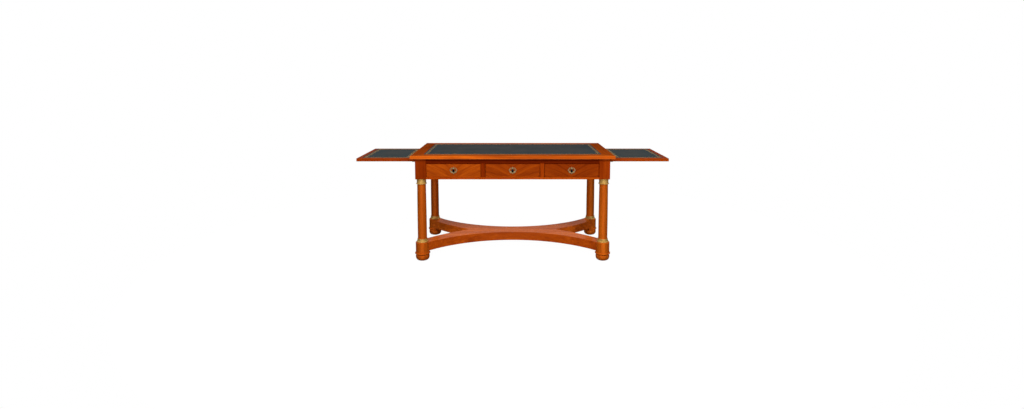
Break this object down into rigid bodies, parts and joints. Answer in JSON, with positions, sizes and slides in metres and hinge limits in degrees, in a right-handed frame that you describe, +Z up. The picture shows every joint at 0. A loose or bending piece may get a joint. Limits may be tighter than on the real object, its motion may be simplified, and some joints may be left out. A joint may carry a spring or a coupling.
{
  "type": "writing desk",
  "caption": "Writing desk with a leather-lined top, locking frieze drawers, a leather-lined pull-out slide at each end, brass-mounted columns and a double-bow stretcher.",
  "frame": {"origin": "on the floor under the middle of the desk", "axes": "+X along the desk to the sitter's right, -Y towards the sitter and the drawers, +Z up"},
  "size_m": [2.296, 0.78, 0.78],
  "materials": {
    "border_mahogany": "polished, mitred border",
    "frieze_mahogany": "polished veneer",
    "drawer_veneer": "polished book-matched veneer",
    "turned_mahogany": "polished, turned",
    "stretcher_mahogany": "polished",
    "slide_mahogany": "polished",
    "inner_oak": "planed, unpolished",
    "desk_leather": "matt grained hide with gold tooled lines",
    "brass": "polished",
    "steel": "satin"
  },
  "bodies": {
    "carcass": {"top_panel": "inner_oak", "top_border_front": "border_mahogany", "top_border_rear": "border_mahogany", "top_border_left": "border_mahogany", "top_border_right": "border_mahogany", "top_leather": "desk_leather", "post_front_left": "frieze_mahogany", "column_front_left": "turned_mahogany", "socle_front_left": "turned_mahogany", "post_front_right": "frieze_mahogany", "column_front_right": "turned_mahogany", "socle_front_right": "turned_mahogany", "post_rear_left": "frieze_mahogany", "column_rear_left": "turned_mahogany", "socle_rear_left": "turned_mahogany", "post_rear_right": "frieze_mahogany", "column_rear_right": "turned_mahogany", "socle_rear_right": "turned_mahogany", "capitals": "brass", "base_rings": "brass", "bun_feet": "turned_mahogany", "stretcher_front": "stretcher_mahogany", "stretcher_rear": "stretcher_mahogany", "stretcher_dowels": "inner_oak", "front_top_rail": "frieze_mahogany", "front_bottom_rail": "frieze_mahogany", "back_rail": "frieze_mahogany", "side_rail_left": "frieze_mahogany", "side_rail_right": "frieze_mahogany", "drawer_dividers": "frieze_mahogany", "drawer_runners": "inner_oak", "drawer_stops": "inner_oak", "slide_bed": "inner_oak", "slide_guides": "inner_oak", "slide_plates": "brass", "top_screws": "steel"},
    "slide_left": {"slide_left_board": "slide_mahogany", "slide_left_edging": "slide_mahogany", "slide_left_leather": "desk_leather"},
    "slide_right": {"slide_right_board": "slide_mahogany", "slide_right_edging": "slide_mahogany", "slide_right_leather": "desk_leather"},
    "drawer_left": {"drawer_left_front": "drawer_veneer", "drawer_left_box": "inner_oak", "drawer_left_bottom": "inner_oak", "drawer_left_escutcheon": "brass", "drawer_left_lock": "steel"},
    "bolt_left": {"drawer_left_bolt": "steel"},
    "drawer_centre": {"drawer_centre_front": "drawer_veneer", "drawer_centre_box": "inner_oak", "drawer_centre_bottom": "inner_oak", "drawer_centre_escutcheon": "brass", "drawer_centre_lock": "steel"},
    "bolt_centre": {"drawer_centre_bolt": "steel"},
    "drawer_right": {"drawer_right_front": "drawer_veneer", "drawer_right_box": "inner_oak", "drawer_right_bottom": "inner_oak", "drawer_right_escutcheon": "brass", "drawer_right_lock": "steel"},
    "bolt_right": {"drawer_right_bolt": "steel"}
  },
  "joints": [
    {"name": "drawer_left_pull", "type": "slide", "parent": "carcass", "child": "drawer_left", "axis": [0, -1, 0], "range_m": [0, 0.42]},
    {"name": "drawer_centre_pull", "type": "slide", "parent": "carcass", "child": "drawer_centre", "axis": [0, -1, 0], "range_m": [0, 0.42]},
    {"name": "drawer_right_pull", "type": "slide", "parent": "carcass", "child": "drawer_right", "axis": [0, -1, 0], "range_m": [0, 0.42]},
    {"name": "slide_left_travel", "type": "slide", "parent": "carcass", "child": "slide_left", "axis": [-1, 0, 0], "range_m": [-0.436, 0]},
    {"name": "slide_right_travel", "type": "slide", "parent": "carcass", "child": "slide_right", "axis": [1, 0, 0], "range_m": [-0.436, 0]},
    {"name": "lock_left_throw", "type": "slide", "parent": "drawer_left", "child": "bolt_left", "axis": [0, 0, 1], "range_m": [0, 0.007]},
    {"name": "lock_centre_throw", "type": "slide", "parent": "drawer_centre", "child": "bolt_centre", "axis": [0, 0, 1], "range_m": [0, 0.007]},
    {"name": "lock_right_throw", "type": "slide", "parent": "drawer_right", "child": "bolt_right", "axis": [0, 0, 1], "range_m": [0, 0.007]}
  ]
}
